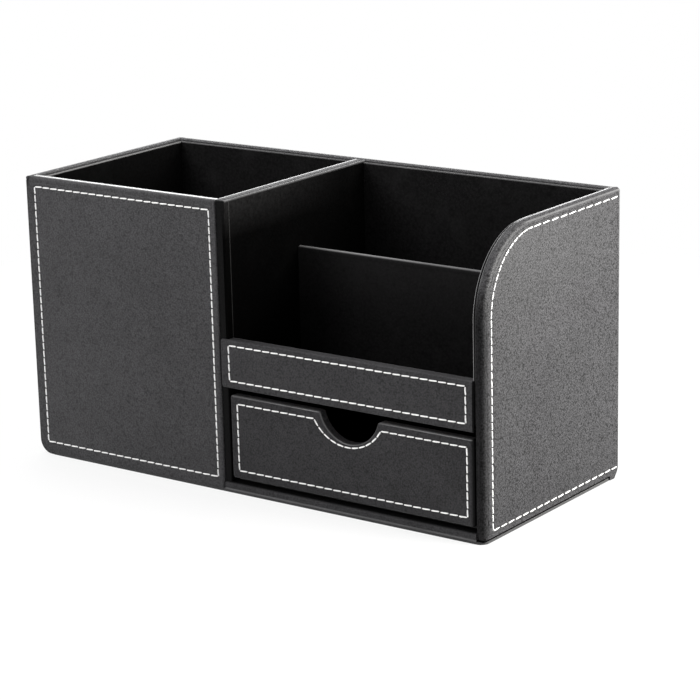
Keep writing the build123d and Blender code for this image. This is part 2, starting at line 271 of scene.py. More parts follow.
leatherLook = {
    "colour": (0.0430, 0.0420, 0.0446),
    "wearAndHighlightColour": (0.095, 0.094, 0.096),  # painted highlight on the rubbed folds
    "roughness": 0.50,
    "polished": 0.24,  # roughness of the rubbed folds
    "polish": 0.6,
    "polishRoughness": 0.20,
    "gloss": 0.20,
    "shadedShine": 0.3,
    "grain": 0.64,
    "grainDepth": 0.07,
    "pore": 0.34,
    "wave": 14.0,
    "waveDepth": 0.10,
    "relief": 0.8,
    "even": 0.36,  # the part of the tone that doesn't change
    "cloud": {"size": 9.0, "share": 0.46},
    "broad": {"size": 42.0, "share": 0.30},
    "patch": {"size": 2.4, "share": 0.54},
    "darkest": 0.12,
}


def leather(name, tone, folds, gloss=1.0, rim=None, shaded=(), shadow=0.3, contrast=1.0):
    look = leatherLook
    bench, place = newMaterial(name)
    sides = bench.axes(place)
    grain = 1.0 - 1.6 * bench.cells(place, look["grain"])
    pores = bench.noise(place, look["pore"], 2.0, 0.6)
    clouds = bench.noise(place, look["cloud"]["size"], 4.0, 0.55)
    patches = bench.noise(place, look["patch"]["size"], 3.0, 0.6)
    broad = bench.noise(place, look["broad"]["size"], 2.0, 0.5)
    waves = bench.noise(place, look["wave"], 1.0, 0.4)
    # Rubbed folds: their coat and lower roughness are real polish, and their lighter colour is a painted
    # highlight
    wearAndHighlight = bench.clamped(wearAndHighlightMask(bench, sides, folds, rim) * (0.35 + 1.1 * clouds))
    mottle = look["even"] + look["cloud"]["share"] * clouds + look["broad"]["share"] * broad
    mottle = mottle + look["patch"]["share"] * patches
    speckle = mottle * (1.0 + contrast * (grain - 0.5 + 0.8 * (pores - 0.5)))
    base = bench.darkened(shade(look["colour"], tone), bench.maths("MAXIMUM", speckle, look["darkest"]))
    colour = bench.mixColour(wearAndHighlight, base, shade(look["wearAndHighlightColour"], 0.5 + 0.5 * tone))
    roughness = look["roughness"] + 0.16 * (pores - 0.5) + 0.14 * (patches - 0.5)
    roughness = roughness - wearAndHighlight * (look["roughness"] - look["polished"])
    height = look["grainDepth"] * (grain + 0.6 * pores) + look["waveDepth"] * waves
    surface = bench.surface(look, colour, roughness, height, gloss, {
        "Coat Weight": look["polish"] * wearAndHighlight, "Coat Roughness": look["polishRoughness"]})
    # Painted shade: along the shaded ramps the colour is darkened to the shadow's share and the gloss lowered
    if shaded:
        paintedShadeColour = bench.mixColour(1.0, colour, shade((shadow, shadow, shadow)), "MULTIPLY")
        edge = bench.surface(look, paintedShadeColour, roughness, height, look["shadedShine"])
        surface = bench.mixShader(bench.along(sides, shaded, 1.0), surface, edge)
    return closeMaterial(bench, surface)


liningLook = {
    "colour": (0.0040, 0.0039, 0.0040),
    # colour of the random dust patches, and of the painted light along the ramps
    "dustAndPaintedLight": (0.012, 0.0117, 0.012),
    # painted highlight colour of the lining's folds and rims
    "wearAndHighlightColour": (0.19, 0.188, 0.19),
    "roughness": 0.82,
    "gloss": 0.03,
    "nap": 0.45,
    "napDepth": 0.06,
    "cell": 1.1,
    "patch": 16.0,
    "patchDepth": 0.10,
    "paintedLightMottle": 1.3,
    "relief": 0.7,
}


def lining(name, tone, folds=(), rim=None, wearAndHighlightShare=1.0, paintedLightRamps=()):
    look = liningLook
    bench, place = newMaterial(name)
    sides = bench.axes(place)
    nap = bench.noise(place, look["nap"], 3.0, 0.65)
    cells = bench.cells(place, look["cell"])
    patches = bench.noise(place, look["patch"], 4.0, 0.6)
    wearAndHighlight = wearAndHighlightMask(bench, sides, folds, rim)
    base = bench.darkened(shade(look["colour"], tone), (0.40 + 1.2 * nap) * (1.25 - 0.75 * cells))
    base = bench.mixColour(bench.clamped((patches - 0.52) * 1.2), base, shade(look["dustAndPaintedLight"], tone))
    # Painted light: along the given ramps the lining is painted lighter and mottled
    if paintedLightRamps:
        dustAndPaintedLight = bench.along(sides, paintedLightRamps, 1.7 * bench.noise(place, look["paintedLightMottle"], 3.0, 0.7) - 0.2)
        base = bench.mixColour(dustAndPaintedLight, base, shade(look["dustAndPaintedLight"]))
    # painted highlight lines along the lining's folds and rim
    colour = bench.mixColour(wearAndHighlight * wearAndHighlightShare * (0.55 + 0.6 * patches), base, shade(look["wearAndHighlightColour"]))
    height = look["napDepth"] * (nap - 1.2 * cells) + look["patchDepth"] * patches
    roughness = look["roughness"] + 0.18 * (nap - 0.5)
    return closeMaterial(bench, bench.surface(look, colour, roughness, height, min(tone, 1.0)))


threadLook = {
    "colour": (0.97, 0.965, 0.96),
    "second": (0.74, 0.73, 0.72),  # soiled
    "roughness": 0.62,
    "gloss": 0.3,
    "sheen": 0.2,
    "twist": 0.42,
    "twistDepth": 0.06,
    "relief": 0.8,
    "soil": 5.0,
}


def thread(name):
    look = threadLook
    bench, place = newMaterial(name)
    strand = bench.value("ShaderNodeTexWave", {
        "Vector": place, "Scale": 0.32 / look["twist"], "Distortion": 1.2, "Detail": 1.0},
        "Fac", wave_type="BANDS", bands_direction="DIAGONAL")
    soil = bench.clamped(bench.noise(place, look["soil"], 4.0, 0.6) * 1.5 - 0.45)
    mask = soil * 0.6 + 0.25 * (1.0 - strand)
    return twoTone(bench, look, mask, 0.2 * (soil - 0.5), look["twistDepth"] * strand)


boardLook = {
    "colour": (0.27, 0.21, 0.155),
    "second": (0.15, 0.11, 0.08),  # fibres
    "roughness": 0.85,
    "gloss": 0.3,
    "chip": 1.6,
    "chipDepth": 0.05,
    "fuzz": 0.5,
    "fuzzDepth": 0.06,
    "flow": 7.0,
    "relief": 0.6,
}
coveredLook = {**boardLook, "colour": (0.012, 0.0118, 0.0122), "second": (0.022, 0.0215, 0.022),
               "roughness": 0.7}


def board(name, look):
    bench, place = newMaterial(name)
    chips = bench.cells(place, look["chip"], 0.3)
    fuzz = bench.noise(place, look["fuzz"], 4.0, 0.7)
    flow = bench.noise(place, look["flow"], 3.0, 0.5)
    mask = chips * 0.8 + 0.9 * (fuzz - 0.5) + 0.4 * (flow - 0.5)
    height = look["chipDepth"] * chips + look["fuzzDepth"] * fuzz
    return twoTone(bench, look, mask, 0.15 * (fuzz - 0.5), height)


soleLook = {
    "colour": (0.030, 0.030, 0.031),
    "second": (0.065, 0.064, 0.066),  # fluff
    "roughness": 0.9,
    "gloss": 0.15,
    "sheen": 0.3,
    "fibre": 0.35,
    "fibreDepth": 0.12,
    "tuft": 3.5,
    "tuftDepth": 0.1,
    "relief": 0.9,
}


def felt(name):
    look = soleLook
    bench, place = newMaterial(name)
    fibres = bench.noise(place, look["fibre"], 5.0, 0.75)
    tufts = bench.noise(place, look["tuft"], 3.0, 0.6)
    mask = fibres * 1.3 - 0.3 + 0.5 * (tufts - 0.5)
    height = look["fibreDepth"] * fibres + look["tuftDepth"] * tufts
    return twoTone(bench, look, mask, 0.1 * (tufts - 0.5), height)


# The floor and the world are white as seen, also in gloss and glass, and the floor keeps part of the shadow

def seenAsWhite(bench):
    seen, gloss, glass = (bench.value("ShaderNodeLightPath", output="Is " + kind + " Ray")
                          for kind in ("Camera", "Glossy", "Transmission"))
    return bench.clamped(seen + gloss + glass)


def makeFloor():
    bpy.ops.mesh.primitive_plane_add(size=studio["floorSize"], location=(0, 0, 0))
    floor = bpy.context.object
    floor.name = "paleFloor"
    bench, place = newMaterial("palePaper")
    paper = bench.value("ShaderNodeBsdfDiffuse", {"Color": shade([studio["floorTone"]] * 3)})
    glow = bench.value("ShaderNodeEmission", {"Color": white, "Strength": 1.0})
    sides = bench.axes(place)
    shadowless = bench.rise(bench.length(sides["x"], sides["y"]), *studio["shadowReach"])
    ownWhite = studio["floorWhite"] + shadowless * (1.0 - studio["floorWhite"])
    mixed = bench.mixShader(seenAsWhite(bench) * ownWhite, paper, glow)
    floor.data.materials.append(closeMaterial(bench, mixed))


def makeWorld():
    world = bpy.data.worlds.new("whiteStudio")
    world.use_nodes = True
    bpy.context.scene.world = world
    bench = Bench(world.node_tree)
    light, seen = (bench.value("ShaderNodeBackground", {"Color": white, "Strength": strength})
                   for strength in (studio["world"], 1.0))
    bench.node("ShaderNodeOutputWorld", {"Surface": bench.mixShader(seenAsWhite(bench), light, seen)})


makeFloor()
makeWorld()
bpy.context.scene.view_settings.view_transform = "Standard"
print("floor and world made")


# Modelling by hand: select by place, then use the edit-mode tools

atReach = 0.02  # how near a corner lies to a place that it is at
looseReach = 0.06  # the same on round outlines
heightReach = 0.0006  # the same for heights rounded to three digits
sharpAngle = 0.8  # radians
cutReach = 0.000001  # metres
channelHalf = 0.7  # half the width of a seam's pressed channel
channelDepth = 0.3
skin = 0.8  # thickness of the leather


def clearSelection():
    if bpy.context.mode != "OBJECT":
        bpy.ops.object.mode_set(mode="OBJECT")
    bpy.ops.object.select_all(action="DESELECT")


def choose(piece):
    clearSelection()
    piece.select_set(True)
    bpy.context.view_layer.objects.active = piece


def applyPlace():
    bpy.ops.object.transform_apply(location=True, rotation=True, scale=True)


def selectAll():
    bpy.ops.mesh.select_all(action="SELECT")


def enterEdit():
    bpy.ops.object.mode_set(mode="EDIT")


def openPiece(name):  # the new primitive, ready for editing
    piece = bpy.context.object
    piece.name = name
    applyPlace()
    enterEdit()
    return piece


def startBlock(name, look):  # its extents are the look's x, y and z
    clearSelection()
    middle = [sum(look[axis]) / 2 * millimetre for axis in "xyz"]
    size = [(look[axis][1] - look[axis][0]) * millimetre for axis in "xyz"]
    bpy.ops.mesh.primitive_cube_add(size=1, location=middle, scale=size)
    return openPiece(name)


def at(**limits):  # true where every corner lies at, or between, the given places
    def test(points):
        for axis, limit in limits.items():
            low, high = limit if isinstance(limit, tuple) else (limit, limit)
            for point in points:
                if not low - atReach <= getattr(point, axis) <= high + atReach:
                    return False
        return True
    return test


def everyPoint(check):  # a test that every corner has to pass
    return lambda points: all(check(point) for point in points)


def openShape():
    return bmesh.from_edit_mesh(bpy.context.edit_object.data)


def choosePoints(points, check):
    for point in points:
        point.select_set(check(point))
    bmesh.update_edit_mesh(bpy.context.edit_object.data)


def pick(kind, *tests, sharp=False):
    bpy.ops.mesh.select_mode(type={"verts": "VERT", "edges": "EDGE", "faces": "FACE"}[kind])
    bpy.ops.mesh.select_all(action="DESELECT")
    shape = openShape()
    for part in getattr(shape, kind):
        corners = [part] if kind == "verts" else part.verts
        points = [corner.co / millimetre for corner in corners]
        if any(test(points) for test in tests) and not (sharp and part.calc_face_angle(0) < sharpAngle):
            part.select_set(True)
    bmesh.update_edit_mesh(bpy.context.edit_object.data)


def takeAway(*tests):
    pick("faces", *tests)
    bpy.ops.mesh.delete(type="FACE")


def flatten(axis, test, place):  # of the picked points, those that pass are brought to one plane
    shape = openShape()
    picked = [point for point in shape.verts if point.select]
    choosePoints(picked, lambda point: test([point.co / millimetre]))
    bpy.ops.transform.resize(value=[float(axis != other) for other in "xyz"],
                             center_override=[place * millimetre] * 3)
    choosePoints(picked, lambda point: True)


def cut(faceTest, **planes):  # lines across the picked faces, at places along one axis each
    for axis, places in planes.items():
        for place in places:
            pick("faces", faceTest)
            normal = [float(axis == other) for other in "xyz"]
            point = [place * millimetre * part for part in normal]
            bpy.ops.mesh.bisect(plane_co=point, plane_no=normal, threshold=cutReach)


def cutOff(place, normal, **sides):
    selectAll()
    bpy.ops.mesh.bisect(plane_co=Vector(place) * millimetre, plane_no=normal, threshold=cutReach, **sides)


def channel(*places):  # the three lines of each seam's channel
    return tuple(place + side for place in places for side in (-channelHalf, 0, channelHalf))


def foldEdges(width, *tests, steps=4, sharp=False):
    pick("edges", *tests, sharp=sharp)
    bpy.ops.mesh.bevel(offset=width * millimetre, segments=steps, affect="EDGES", clamp_overlap=False)


def slide(x=0.0, y=0.0, z=0.0):
    bpy.ops.transform.translate(value=Vector((x, y, z)) * millimetre)


def pressPoints(depth, *tests):
    pick("verts", *tests)
    bpy.ops.transform.shrink_fatten(value=-depth * millimetre)


def pressRectangle(look):  # the seam's channel round a flat front panel
    y, xs, zs = look["y"][0], look["seamX"], look["seamZ"]
    pressPoints(channelDepth, *(at(y=y, x=x, z=zs) for x in xs), *(at(y=y, x=xs, z=z) for z in zs))


def pullOut(x=0.0, y=0.0, z=0.0):
    bpy.ops.mesh.extrude_region_move(TRANSFORM_OT_translate={"value": Vector((x, y, z)) * millimetre})


def ring(width):
    bpy.ops.mesh.inset(thickness=width * millimetre, depth=0, use_even_offset=True, use_boundary=True)


def applyModifier(piece, kind, **settings):
    choose(piece)
    modifier = piece.modifiers.new(kind.lower(), kind)
    for name, value in settings.items():
        setattr(modifier, name, value)
    bpy.ops.object.modifier_apply(modifier=modifier.name)
    enterEdit()


def thicken(piece):
    applyModifier(piece, "SOLIDIFY", thickness=skin * millimetre, offset=-1, use_even_offset=True)


def finishPiece(piece, body, replaced, material, smoothAngle=50):
    choose(piece)
    enterEdit()
    selectAll()
    bpy.ops.mesh.remove_doubles(threshold=0.005 * millimetre)
    bpy.ops.object.mode_set(mode="OBJECT")
    bpy.ops.object.shade_smooth_by_angle(angle=math.radians(smoothAngle))
    piece.data.materials.clear()
    piece.data.materials.append(material)
    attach(piece, body)
    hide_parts(replaced)
    clearSelection()
    print(piece.name, "made:", len(piece.data.polygons), "faces")


# Outer wrap: one leather over the left, back and right walls, their top edges and the curved front edge

wrap = {
    "x": (-112.5, 112.5),
    "y": (-50.0, 50.0),
    "z": (0.2, 120.0),
    "rim": 3.8,  # width of the covered top edge
    "rimFold": 0.5,
    "turnUnder": 7.0,
    "curve": 34.0,
    "curveSteps": 22,
    "fold": 1.9,
    "backFold": 1.0,
    "lowLeft": 6.0,
    "lowBack": 5.0,
    "lowBackSteps": 10,
    "sideLow": 2.1,  # lower edge of the right side, above the sole
    "bead": 0.9,  # from the inner edge of the rim to the line pressed along it
    "beadWidth": 0.4,
    "beadDepth": 0.26,
    "crease": 0.45,  # from the end of a fold to the line pressed beside it
    "creaseHalf": 0.25,
    "creaseDepth": 0.28,
    "wearAndHighlightFrom": 63.5,  # the rim's painted highlight and wear start above the band
    "wearAndHighlightRim": (108.8, 34.0, 0.45),  # place across, radius and reach of the rim's painted highlight and wear
    "finish": {"tone": 1.0, "contrast": 1.1, "shadow": 0.24,
               "shaded": (("y", -46.0, -50.0), ("x", 0.0, 10.0)),
               "folds": (("z", 120.0, "x", 109.2, 1.15), ("x", 112.5, "y", 50.0, 1.0),
                         ("x", -112.5, "y", 50.0, 1.0), ("x", 112.3, "z", 119.2, 0.5))},
}
rimMiddle = (wrap["y"][0] + wrap["curve"], wrap["z"][1] - wrap["curve"])
sideSeam = {"top": 116.5, "low": 4.6, "front": -44.3, "back": 46.4, "radius": 29.5,
            "curveMiddle": (-14.8, 87.0)}
leftSeam = {"top": 116.5, "front": -44.3, "low": 8.2, "back": 47.6}
backSeam = {"top": 116.5, "low": 7.4, "sides": (-110.1, 110.1)}


def roundSide(middle, radius):  # on the right side, along a quarter circle that opens to the back and down
    def near(point):
        across, lift = point.y - middle[0], point.z - middle[1]
        return (abs(point.x - wrap["x"][1]) < atReach and across < looseReach and lift > -looseReach
                and abs(math.hypot(across, lift) - radius) < looseReach)
    return everyPoint(near)


def insideSide(front, middle, radius, low):  # right side within an outline with one quarter circle
    back = wrap["y"][1] - wrap["fold"] - 2 * wrap["crease"]

    def inside(point):
        across, lift = point.y - middle[0], point.z - middle[1]
        beyond = across < 0 < lift and math.hypot(across, lift) > radius + looseReach
        return (abs(point.x - wrap["x"][1]) < atReach and not beyond
                and front - looseReach < point.y < back + looseReach
                and -looseReach < point.z - low and lift < radius + looseReach)
    return everyPoint(inside)


def ringSideSeam():
    right, (front, back), low = wrap["x"][1], wrap["y"], wrap["z"][0]
    half, beside = wrap["creaseHalf"], wrap["crease"] - wrap["creaseHalf"]
    pick("faces", at(x=right))
    ring(beside)
    # at the back and below, the lines keep clear of the folds that come there
    bpy.ops.mesh.select_mode(type="VERT")
    flatten("z", at(z=(low, low + half)), sideSeam["low"] - channelHalf - 2 * half - beside)
    flatten("y", at(y=(back - half, back)), back - wrap["fold"] - beside)
    for width in (half, half, beside):
        bpy.ops.mesh.select_mode(type="FACE")
        ring(width)
    # the groove's outer line moves from beside the fold to the seam's own distances
    step = wrap["fold"] + 2 * wrap["crease"]
    middle, radius = sideSeam["curveMiddle"], sideSeam["radius"]
    seamFront, seamLow = sideSeam["front"] - channelHalf, sideSeam["low"] - channelHalf
    pick("verts", at(x=right, y=front + step, z=seamLow))
    slide(y=seamFront - front - step)
    pick("verts", roundSide(rimMiddle, wrap["curve"] - step))
    narrowing = (radius + channelHalf) / (wrap["curve"] - step)
    bpy.ops.transform.resize(value=(1, narrowing, narrowing),
                             center_override=Vector((right, *rimMiddle)) * millimetre)
    slide(y=middle[0] - rimMiddle[0], z=middle[1] - rimMiddle[1])
    for inset in (0, channelHalf):
        pick("faces", insideSide(seamFront + inset, middle, radius + channelHalf - inset, seamLow + inset))
        ring(channelHalf)
    cut(at(x=right), y=(sideSeam["back"],))


def alongRim(x):  # on the right side's outline, at one place across the rim
    def near(point):
        outside = math.hypot(max(rimMiddle[0] - point.y, 0), max(point.z - rimMiddle[1], 0)) - wrap["curve"]
        return abs(point.x - x) < atReach and abs(outside) < looseReach
    return everyPoint(near)


def pressWrapLines():
    (left, right), (front, back), top = wrap["x"], wrap["y"], wrap["z"][1]
    seam, (curveY, curveZ) = sideSeam, sideSeam["curveMiddle"]
    leftRun, leftRise = (leftSeam["front"], leftSeam["back"]), (leftSeam["low"], leftSeam["top"])
    pressPoints(channelDepth, roundSide(seam["curveMiddle"], seam["radius"]),
                at(x=right, y=(curveY, seam["back"]), z=seam["top"]),
                at(x=right, y=seam["front"], z=(seam["low"], curveZ)),
                at(x=right, y=(seam["front"], seam["back"]), z=seam["low"]),
                at(x=left, y=leftSeam["front"], z=leftRise), *(at(x=left, y=leftRun, z=z) for z in leftRise),
                *(at(y=back, x=backSeam["sides"], z=backSeam[place]) for place in ("top", "low")))
    edge, backEdge = (wrap[width] + wrap["crease"] for width in ("fold", "backFold"))
    pressPoints(wrap["creaseDepth"], roundSide(rimMiddle, wrap["curve"] - edge),
                at(x=right, y=(rimMiddle[0], back - wrap["fold"]), z=top - edge),
                at(x=right, y=front + edge, z=(wrap["sideLow"], rimMiddle[1])),
                at(x=left, z=top - backEdge), at(y=back, z=top - backEdge))
    inner = wrap["bead"] - wrap["rim"]
    pressPoints(wrap["beadDepth"], alongRim(right + inner), at(x=left - inner, z=top),
                at(y=back + inner, z=top))


def roundLowBack():  # the back turns under the base in a soft round
    back, low, radius, steps = wrap["y"][1], wrap["z"][0], wrap["lowBack"], wrap["lowBackSteps"]
    turns = [math.pi / 2 * step / steps for step in range(1, steps + 1)]
    depth = (back - wrap["backFold"], back)
    cut(at(y=depth), z=[low + radius * (1 - math.cos(turn)) for turn in turns])
    near = at(y=depth, z=(low, low + radius))
    pick("verts", near)
    shape = openShape()
    heights = sorted({round(point.co.z / millimetre, 3) for point in shape.verts if point.select})
    for height in heights:
        pick("verts", lambda points: near(points) and abs(points[0].z - height) < heightReach)
        slide(y=math.sqrt(max(radius ** 2 - (low + radius - height) ** 2, 0)) - radius)


def makeWrap():
    (left, right), (front, back), (low, top) = wrap["x"], wrap["y"], wrap["z"]
    rim, under, half = wrap["rim"], wrap["turnUnder"], wrap["creaseHalf"]
    piece = startBlock("outerWrapLeather", wrap)
    cut(at(z=top), x=(left + rim, right - rim))
    cut(at(z=top, x=(left + rim, right - rim)), y=(back - rim,))
    cut(at(z=low), x=(left + under,))
    cut(at(z=low, x=(left + under, right)), y=(back - under,))
    cut(at(y=front), x=(right - rim,))
    # what is open: the front, the places inside and the middle of the underside
    takeAway(at(y=front, x=(left, right - rim)),
             at(z=top, x=(left + rim, right - rim), y=(front, back - rim)),
             at(z=low, x=(left + under, right), y=(front, back - under)))
    foldEdges(wrap["curve"], at(y=front, z=top, x=(right - rim, right)), steps=wrap["curveSteps"])
    foldEdges(wrap["fold"], at(x=right, y=front), at(x=right, z=top),
              at(x=right, y=(front, rimMiddle[0]), z=(rimMiddle[1], top)), steps=5)
    ringSideSeam()
    foldEdges(wrap["lowLeft"], at(x=left, z=low), steps=8)
    foldEdges(wrap["backFold"], at(y=back, z=top), at(y=back, x=right), at(x=left, z=top),
              at(y=back, x=(left, left + wrap["lowLeft"])), sharp=True)
    roundLowBack()
    # lines that are pressed later: seam channels, creases beside the folds, the rim's inner bead
    crease = top - wrap["backFold"] - wrap["crease"]
    for test, seam in ((at(x=left), leftSeam), (at(y=back), backSeam)):
        cut(test, z=(crease + half, crease, crease - half, *channel(seam["top"], seam["low"])))
    cut(at(x=left), y=(*channel(leftSeam["front"]), leftSeam["back"]))
    cut(at(y=back), x=backSeam["sides"])
    inner = right - rim + wrap["bead"]
    for place in (inner, inner + wrap["beadWidth"]):
        cut(at(x=(right - rim, right)), x=(place,))
        cut(at(x=(left, left + rim), z=top), x=(-place,))
        cut(at(y=(back - rim, back), z=top), y=(place - right + back,))
    # the right side ends above the sole
    cut(at(x=(right - rim, right)), y=(back - under,))
    cut(at(x=(right - rim, right), y=(front, back - under)), z=(wrap["sideLow"],))
    takeAway(at(x=(right - rim, right), y=(front, back - under), z=(low, wrap["sideLow"])))
    thicken(piece)
    pressWrapLines()
    foldEdges(wrap["rimFold"], alongRim(right - rim), at(x=left + rim, z=top), at(y=back - rim, z=top),
              steps=3)
    finish = leather("wrapLeather", rim=sideRim(*wrap["wearAndHighlightRim"]), **wrap["finish"])
    finishPiece(piece, "case", "outer_wrap", finish)


makeWrap()


# Leather over the front of the pen bay

penFront = {
    "x": (-111.7, -12.9),
    "y": (-50.0, -46.2),
    "z": (1.0, 120.0),
    "cutLow": 1.05,
    "fold": 1.1,
    "insideFold": 0.3,
    "beside": 0.2,  # from a fold to the first line on the flat front
    "lowCorner": 5.6,
    "seamX": (-108.0, -15.8),
    "seamZ": (5.6, 115.8),
    "crease": (1.35, 0.25, 0.14),  # below the fold, half its width, its depth
    "finish": {"tone": 1.0, "folds": (("y", -46.8, "z", 120.0, 1.9),), "contrast": 0.7},
}


def makePenFront():
    (left, right), (front, inside), (low, top) = penFront["x"], penFront["y"], penFront["z"]
    width, corner, (below, half, depth) = penFront["fold"], penFront["lowCorner"], penFront["crease"]
    piece = startBlock("penFrontLeather", penFront)
    foldEdges(corner, at(x=left, z=low), steps=7)
    foldEdges(width, at(x=left, z=top))
    foldEdges(width, at(y=front, z=(top - width, top)), at(y=front, x=right))
    takeAway(at(y=inside), at(x=left), at(z=low), at(x=(left, left + corner), z=(low, low + corner)))
    cutOff((0, 0, penFront["cutLow"]), (0, 0, 1), clear_inner=True)
    line, flat = top - width - below, width + penFront["beside"]
    cut(at(y=front), z=(line - half, line, line + half, top - flat), x=(right - flat,))
    cut(at(y=front), x=channel(*penFront["seamX"]), z=channel(*penFront["seamZ"]))
    thicken(piece)
    pressRectangle(penFront)
    pressPoints(depth, at(y=front, z=line))
    foldEdges(penFront["insideFold"], at(y=inside, z=top), steps=3)
    finishPiece(piece, "case", "pen_front_cover", leather("penPanelLeather", **penFront["finish"]))


makePenFront()


# Leather strip over the front and the top of the main divider

dividerStrip = {
    "x": (-12.6, -9.6),
    "topX": (-13.8, -8.4),  # the top also covers the linings beside it
    "y": (-49.2, 46.2),
    "z": (4.4, 120.0),
    "liningFront": -46.2,
    "fold": 0.8,
    "leftFold": 0.6,
    "sideFold": 0.3,
    "lineInset": 0.3,
    "lineStart": 1.0,
    "lineDepth": 0.12,
    "finish": {"tone": 0.45, "gloss": 0.4, "shaded": (("y", -48.4, -49.2),), "shadow": 0.12, "contrast": 0.7,
               "folds": (("z", 120.0, "x", -13.5, 1.3), ("z", 119.9, "x", -8.4, 0.5))},
}


def makeDividerStrip():
    look = dividerStrip
    (left, right), (front, back), (low, top) = look["x"], look["y"], look["z"]
    (topLeft, topRight), inset = look["topX"], look["lineInset"]
    piece = startBlock("mainDividerLeather", look)
    takeAway(at(y=back), at(z=low), at(x=left), at(x=right))
    cut(at(z=top), y=(look["liningFront"],))
    pick("edges", at(x=right, z=top))
    pullOut(x=topRight - right)
    pick("edges", at(x=left, z=top, y=(look["liningFront"], back)))
    pullOut(x=topLeft - left)
    foldEdges(look["fold"], at(y=front, z=top))
    cut(at(z=top), x=(left + inset, left + 2 * inset, right - inset))
    thicken(piece)
    depth = (front + look["lineStart"], back)
    pressPoints(look["lineDepth"], at(z=top, x=left + inset, y=depth), at(z=top, x=right, y=depth))
    foldEdges(look["leftFold"], at(z=top, x=topLeft))
    foldEdges(look["sideFold"], at(z=top, x=topRight), at(y=front, x=left), at(y=front, x=right), steps=3)
    finish = leather("dividerStripLeather", **look["finish"])
    finishPiece(piece, "case", "main_divider_cover", finish)


makeDividerStrip()


# Leather over the band in front of the trays

band = {
    "x": (-12.3, 107.9),
    "innerX": (-8.4, 107.5),  # between the wall edges that the front laps over
    "y": (-50.0, -45.4),
    "z": (43.9, 64.0),
    "corner": 1.2,
    "fold": 0.65,
    "backFold": 0.8,
    "seamX": (-8.2, 104.3),
    "seamZ": (47.0, 61.6),
    "crease": (0.55, 0.2, 0.1),  # below the fold, half its width, its depth
    "finish": {"tone": 0.82, "gloss": 0.5, "shaded": (("x", 107.2, 107.6),), "shadow": 0.1, "contrast": 0.6,
               "folds": (("y", -45.6, "z", 64.0, 1.2),)},
}


def makeBand():
    (front, back), (low, top), (below, half, depth) = band["y"], band["z"], band["crease"]
    flap = (front, front + skin)
    piece = startBlock("bandLeather", {**band, "x": band["innerX"]})
    cut(at(), y=flap[1:])
    for inner, outer in zip(band["innerX"], band["x"]):
        pick("faces", at(x=inner, y=flap))
        pullOut(x=outer - inner)
    foldEdges(band["corner"], *(at(x=x, z=z, y=flap) for x in band["x"] for z in (low, top)))
    foldEdges(band["backFold"], at(y=back, z=top), steps=3)
    foldEdges(band["fold"], at(y=front), steps=3, sharp=True)
    line = top - band["fold"] - below
    cut(at(y=front), z=(line - half, line, line + half))
    cut(at(y=front), x=channel(*band["seamX"]), z=channel(*band["seamZ"]))
    pressRectangle(band)
    pressPoints(depth, at(y=front, z=line))
    finishPiece(piece, "case", "band_cover", leather("bandFrontLeather", **band["finish"]))


makeBand()


# Cloth-backed leather over the low divider

lowDivider = {
    "x": (-8.4, 107.5),
    "y": (-2.1, 0.7),
    "z": (48.1, 92.6),
    "fold": 1.1,
    "line": (2.2, 0.3, 0.1),  # below the top, half its width, its depth
    # painted light: the low divider's lining grows lighter towards its top
    "finish": {"tone": 1.6, "folds": (("z", 92.6, "y", -0.7, 1.3),), "paintedLightRamps": (("z", 62.0, 92.0),)},
}


def makeLowDivider():
    top, (below, half, depth) = lowDivider["z"][1], lowDivider["line"]
    piece = startBlock("lowDividerLeather", lowDivider)
    foldEdges(lowDivider["fold"], *(at(y=y, z=top) for y in lowDivider["y"]))
    line = top - below
    cut(at(), z=(line - half, line, line + half))
    pressPoints(depth, *(at(y=y, z=line) for y in lowDivider["y"]))
    finish = lining("lowDividerLining", **lowDivider["finish"])
    finishPiece(piece, "case", "low_divider_cover", finish)


makeLowDivider()


# Leather over the rail below the drawer, turned in over the bay's floor

rail = {
    "x": (-12.3, 108.4),
    "bayX": (-9.2, 108.3),
    "y": (-50.0, -35.0),
    "z": (1.05, 4.4),
    "fold": 1.1,
    "line": (0.75, 0.3, 0.12),  # above the lower edge, half its width, its depth
    "finish": {"tone": 0.8, "gloss": 0.5, "shaded": (("z", 3.6, 4.4),), "shadow": 0.1, "contrast": 0.6,
               "folds": (("y", -50.0, "z", 1.35, 0.6),)},
}


def makeRail():
    (left, right), (front, back), (low, top) = rail["x"], rail["y"], rail["z"]
    above, half, depth = rail["line"]
    piece = startBlock("railLeather", rail)
    foldEdges(rail["fold"], at(y=front, z=top))
    takeAway(at(y=back), at(z=low), at(x=left), at(x=right))
    cut(at(z=top), x=rail["bayX"])
    takeAway(at(z=top, x=(left, rail["bayX"][0])), at(z=top, x=(rail["bayX"][1], right)))
    line = low + above
    cut(at(y=front), z=(line - half, line, line + half))
    thicken(piece)
    pressPoints(depth, at(y=front, z=line))
    finishPiece(piece, "case", "rail_cover", leather("railFrontLeather", **rail["finish"]))


makeRail()


# Leather over the drawer front, with the half-moon finger notch

